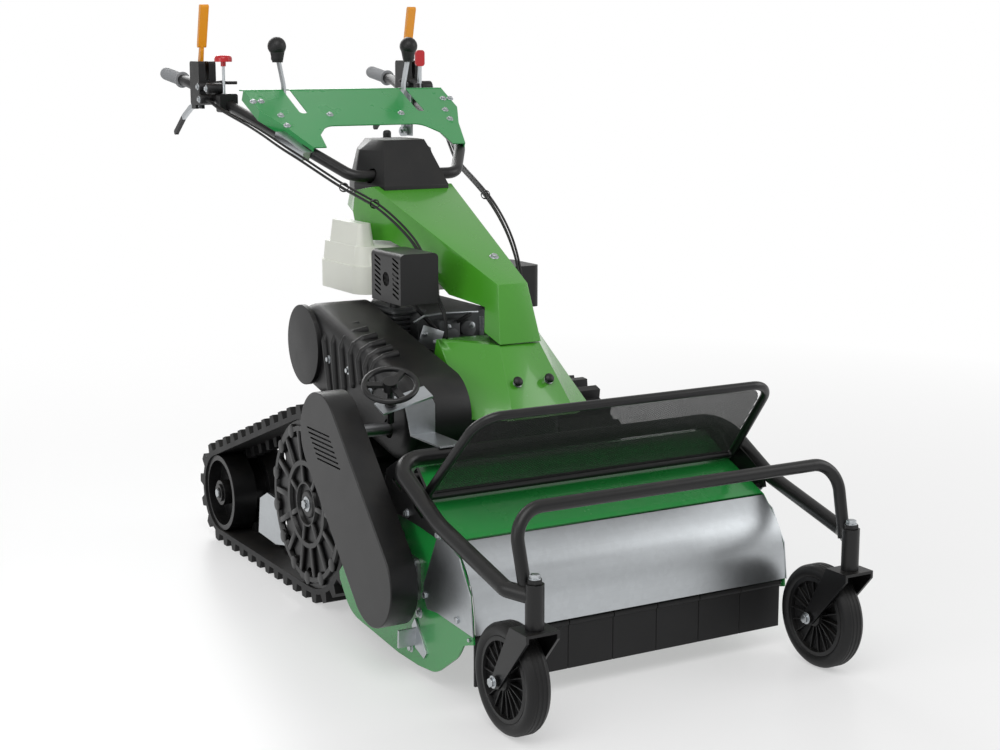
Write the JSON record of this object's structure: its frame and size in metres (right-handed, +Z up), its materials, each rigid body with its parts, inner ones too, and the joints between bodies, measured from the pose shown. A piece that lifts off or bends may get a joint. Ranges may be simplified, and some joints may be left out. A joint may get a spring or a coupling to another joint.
{
  "type": "walk-behind tracked flail mower",
  "caption": "Walk-behind brush mower: petrol engine on rubber tracks drives a front flail rotor by belt, with swivelling caster wheels, a bumper hoop and a tilting handlebar.",
  "frame": {"origin": "on the ground, on the centre plane between the tracks, straight under the drive wheels' axle", "axes": "+Z up; the cutting deck faces -Y and the handlebar reaches back along +Y; X is the width, with the belt guard on -X"},
  "size_m": [0.9578, 2.2245, 1.463],
  "materials": {
    "deck_green": "gloss powder coat",
    "cowl_green": "gloss powder coat",
    "console_green": "gloss powder coat",
    "black_paint": "satin powder coat",
    "black_plastic": "moulded, fine grain",
    "galvanised": "satin zinc",
    "bare_steel": "machined",
    "cast_metal": "cast",
    "track_rubber": "moulded",
    "caster_tyre": "matte",
    "tank_white": "translucent moulded",
    "grip_grey": "ribbed",
    "lever_yellow": "moulded",
    "control_red": "moulded"
  },
  "bodies": {
    "chassis": {"air_filter": "black_plastic", "axle_housing": "black_paint", "belt_guard": "black_paint", "bumper_hoop": "black_paint", "caster_frame": "black_paint", "chassis_frame": "black_paint", "control_cables": "track_rubber", "cowl": "cowl_green", "deck_hood": "deck_green", "deck_sides": "deck_green", "deflector": "galvanised", "drive_belt": "track_rubber", "engine_block": "cast_metal", "fasteners": "galvanised", "fuel_tank": "tank_white", "gearbox": "cast_metal", "handlebar_column": "black_paint", "lower_cover": "cowl_green", "muffler": "black_paint", "recoil_starter": "black_plastic", "rotor_bearings": "bare_steel", "screen_frame": "black_paint", "screen_mesh": "black_paint", "steel_brackets": "galvanised", "top_cover": "black_plastic", "track_frames": "black_paint", "track_left": "track_rubber", "track_right": "track_rubber", "transmission_cover": "black_plastic"},
    "caster_left": {"caster_fork_left": "black_paint"},
    "caster_right": {"caster_fork_right": "black_paint"},
    "caster_wheel_left": {"caster_wheel_left": "caster_tyre"},
    "caster_wheel_right": {"caster_wheel_right": "caster_tyre"},
    "rotor": {"rotor": "bare_steel", "lower_pulley": "cast_metal"},
    "jackshaft": {"jackshaft": "bare_steel", "upper_pulley": "cast_metal"},
    "flails_front": {"flails_front": "bare_steel"},
    "flails_rear": {"flails_rear": "bare_steel"},
    "flaps": {"front_flaps": "track_rubber"},
    "drive_wheel_left": {"drive_wheel_left": "black_paint"},
    "drive_wheel_right": {"drive_wheel_right": "black_paint"},
    "idler_left": {"idler_left": "black_paint"},
    "idler_right": {"idler_right": "black_paint"},
    "height_screw": {"height_handwheel": "black_paint"},
    "handlebar": {"handlebar": "black_paint", "hand_grips": "grip_grey", "control_clamps": "black_plastic", "console_plate": "console_green", "console_brackets": "galvanised"},
    "gear_lever_left": {"gear_lever_left": "black_plastic"},
    "gear_lever_right": {"gear_lever_right": "black_plastic"},
    "safety_lever_left": {"safety_lever_left": "lever_yellow"},
    "safety_lever_right": {"safety_lever_right": "lever_yellow"},
    "steering_lever_left": {"steering_lever_left": "galvanised"},
    "steering_lever_right": {"steering_lever_right": "galvanised"},
    "stop_button": {"stop_button": "control_red"},
    "throttle_lever": {"throttle_lever": "control_red"},
    "lock_lever": {"lock_lever": "black_plastic"},
    "fuel_cap": {"fuel_cap": "black_plastic"}
  },
  "joints": [
    {"name": "caster_left_swivel", "type": "hinge", "parent": "chassis", "child": "caster_left", "pos_m": [-0.396, -1.08, 0.2875], "axis": [0, 0, 1], "continuous": true},
    {"name": "caster_left_roll", "type": "hinge", "parent": "caster_left", "child": "caster_wheel_left", "pos_m": [-0.396, -0.995, 0.115], "axis": [1, 0, 0], "continuous": true},
    {"name": "caster_right_swivel", "type": "hinge", "parent": "chassis", "child": "caster_right", "pos_m": [0.396, -1.08, 0.2875], "axis": [0, 0, 1], "continuous": true},
    {"name": "caster_right_roll", "type": "hinge", "parent": "caster_right", "child": "caster_wheel_right", "pos_m": [0.396, -0.995, 0.115], "axis": [1, 0, 0], "continuous": true},
    {"name": "rotor_spin", "type": "hinge", "parent": "chassis", "child": "rotor", "pos_m": [0, -0.575, 0.218], "axis": [1, 0, 0], "continuous": true},
    {"name": "jackshaft_spin", "type": "hinge", "parent": "chassis", "child": "jackshaft", "pos_m": [-0.3, -0.32, 0.488], "axis": [1, 0, 0], "continuous": true},
    {"name": "flails_front_swing", "type": "hinge", "parent": "rotor", "child": "flails_front", "pos_m": [0, -0.645, 0.218], "axis": [1, 0, 0], "range_deg": [-90, 28]},
    {"name": "flails_rear_swing", "type": "hinge", "parent": "rotor", "child": "flails_rear", "pos_m": [0, -0.505, 0.218], "axis": [1, 0, 0], "range_deg": [-28, 90]},
    {"name": "flaps_swing", "type": "hinge", "parent": "chassis", "child": "flaps", "pos_m": [0, -0.842, 0.15], "axis": [1, 0, 0], "range_deg": [-12, 60]},
    {"name": "drive_wheel_left_spin", "type": "hinge", "parent": "chassis", "child": "drive_wheel_left", "pos_m": [-0.307, 0, 0.245], "axis": [1, 0, 0], "continuous": true},
    {"name": "idler_left_spin", "type": "hinge", "parent": "chassis", "child": "idler_left", "pos_m": [-0.307, 0.602, 0.14], "axis": [1, 0, 0], "continuous": true},
    {"name": "drive_wheel_right_spin", "type": "hinge", "parent": "chassis", "child": "drive_wheel_right", "pos_m": [0.307, 0, 0.245], "axis": [1, 0, 0], "continuous": true},
    {"name": "idler_right_spin", "type": "hinge", "parent": "chassis", "child": "idler_right", "pos_m": [0.307, 0.602, 0.14], "axis": [1, 0, 0], "continuous": true},
    {"name": "height_screw_turn", "type": "hinge", "parent": "chassis", "child": "height_screw", "pos_m": [-0.385, -0.444, 0.615], "axis": [-0.2, -0.4201, 0.8852], "range_deg": [-1800, 1800]},
    {"name": "handlebar_tilt", "type": "hinge", "parent": "chassis", "child": "handlebar", "pos_m": [0, 0.232, 1.022], "axis": [1, 0, 0], "range_deg": [-8, 12], "deforming": ["control_cables"]},
    {"name": "gear_lever_left_tilt", "type": "hinge", "parent": "handlebar", "child": "gear_lever_left", "pos_m": [-0.18, 0.594, 1.115], "axis": [1, 0, 0], "range_deg": [0, 38]},
    {"name": "safety_lever_left_squeeze", "type": "hinge", "parent": "handlebar", "child": "safety_lever_left", "pos_m": [-0.319, 0.85, 1.3], "axis": [1, 0, 0], "range_deg": [-85, 0], "stiffness_Nm_per_rad": 0.6, "springref_deg": 34.38},
    {"name": "steering_lever_left_squeeze", "type": "hinge", "parent": "handlebar", "child": "steering_lever_left", "pos_m": [-0.32, 0.882, 1.19], "axis": [1, 0, 0], "range_deg": [0, 18], "stiffness_Nm_per_rad": 1, "springref_deg": -28.65},
    {"name": "gear_lever_right_tilt", "type": "hinge", "parent": "handlebar", "child": "gear_lever_right", "pos_m": [0.18, 0.594, 1.115], "axis": [1, 0, 0], "range_deg": [0, 38]},
    {"name": "safety_lever_right_squeeze", "type": "hinge", "parent": "handlebar", "child": "safety_lever_right", "pos_m": [0.319, 0.85, 1.3], "axis": [1, 0, 0], "range_deg": [-85, 0], "stiffness_Nm_per_rad": 0.6, "springref_deg": 34.38},
    {"name": "steering_lever_right_squeeze", "type": "hinge", "parent": "handlebar", "child": "steering_lever_right", "pos_m": [0.32, 0.882, 1.19], "axis": [1, 0, 0], "range_deg": [0, 18], "stiffness_Nm_per_rad": 1, "springref_deg": -28.65},
    {"name": "stop_button_press", "type": "slide", "parent": "handlebar", "child": "stop_button", "axis": [0, 0, 1], "range_m": [-0.01, 0], "stiffness_N_per_m": 300, "springref_m": 0.01},
    {"name": "throttle_lever_tilt", "type": "hinge", "parent": "handlebar", "child": "throttle_lever", "pos_m": [0.3, 0.727, 1.234], "axis": [1, 0, 0], "range_deg": [-30, 30]},
    {"name": "lock_lever_pull", "type": "hinge", "parent": "chassis", "child": "lock_lever", "pos_m": [0.028, 0.424, 1], "axis": [1, 0, 0], "range_deg": [-8, 0], "stiffness_Nm_per_rad": 1, "springref_deg": 34.38},
    {"name": "fuel_cap_turn", "type": "hinge", "parent": "chassis", "child": "fuel_cap", "pos_m": [0.156, 0.215, 0.885], "axis": [0, 0, 1], "range_deg": [0, 90]}
  ],
  "couplings": [
    {"joint": "jackshaft_spin", "follows": "rotor_spin", "ratio": 0.87013},
    {"joint": "idler_left_spin", "follows": "drive_wheel_left_spin", "ratio": 2.0096},
    {"joint": "idler_right_spin", "follows": "drive_wheel_right_spin", "ratio": 2.0096}
  ]
}
